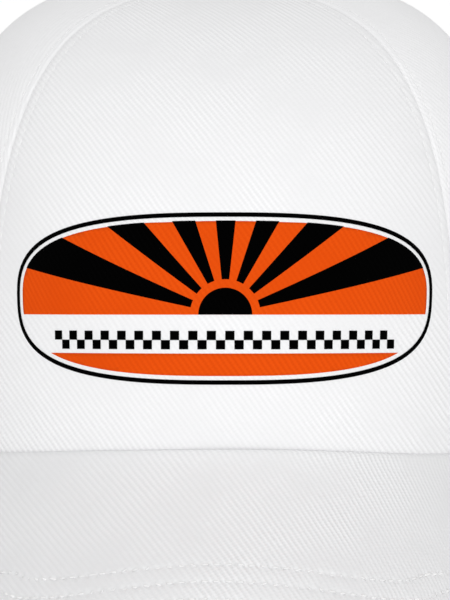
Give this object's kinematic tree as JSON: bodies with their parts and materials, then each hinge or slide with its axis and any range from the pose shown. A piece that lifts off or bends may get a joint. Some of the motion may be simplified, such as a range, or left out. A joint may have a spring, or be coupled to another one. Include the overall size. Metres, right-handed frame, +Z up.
{
  "type": "baseball cap",
  "caption": "White cotton twill baseball cap with a one-piece printed front, a bent stitched peak and a strap with a cam buckle.",
  "frame": {"origin": "bottom centre of the box round the cap as it rests on a table, on the peak's two lower corners and the buckle", "axes": "+X to the wearer's left, +Y from the peak to the back, +Z up from the table"},
  "size_m": [0.159, 0.2672, 0.1425],
  "materials": {
    "crown_twill": "woven cotton twill, diagonal ribs",
    "peak_twill": "woven cotton twill, stitched in rows",
    "button_twill": "woven cotton twill over a metal cap",
    "strap_twill": "folded and edge-stitched cotton twill",
    "binding_twill": "folded bias tape",
    "sweatband_twill": "brushed cotton, stitched",
    "seam_tape": "plain woven tape",
    "backing_mesh": "stiffened open weave",
    "eyelet_thread": "satin-stitched thread",
    "peak_board_plastic": "moulded sheet",
    "rivet_metal": "plain pressed metal",
    "buckle_metal": "nickel plated, satin"
  },
  "bodies": {
    "root": {"front_panel": "crown_twill", "front_backing": "backing_mesh", "side_panel_left": "crown_twill", "side_panel_right": "crown_twill", "rear_panel_left": "crown_twill", "rear_panel_right": "crown_twill", "eyelet_side_left": "eyelet_thread", "eyelet_side_right": "eyelet_thread", "eyelet_rear_left": "eyelet_thread", "eyelet_rear_right": "eyelet_thread", "seam_tape_front_left": "seam_tape", "seam_tape_front_right": "seam_tape", "seam_tape_rear_left": "seam_tape", "seam_tape_rear_right": "seam_tape", "seam_tape_back": "seam_tape", "sweatband": "sweatband_twill", "rear_opening_binding": "binding_twill", "peak_board": "peak_board_plastic", "peak_top_cloth": "peak_twill", "peak_under_cloth": "peak_twill", "peak_edge_seam": "peak_twill", "top_button": "button_twill", "button_stud": "rivet_metal", "closure_strap": "strap_twill", "buckle_tab": "strap_twill", "buckle_frame": "buckle_metal"},
    "clasp_lever": {"buckle_lever": "buckle_metal"}
  },
  "joints": [
    {"name": "clasp_lever_hinge", "type": "hinge", "parent": "root", "child": "clasp_lever", "pos_m": [-0.0035, 0.12919, 0.01059], "axis": [0, 0.1963, 0.9805], "range_deg": [0, 100]}
  ]
}
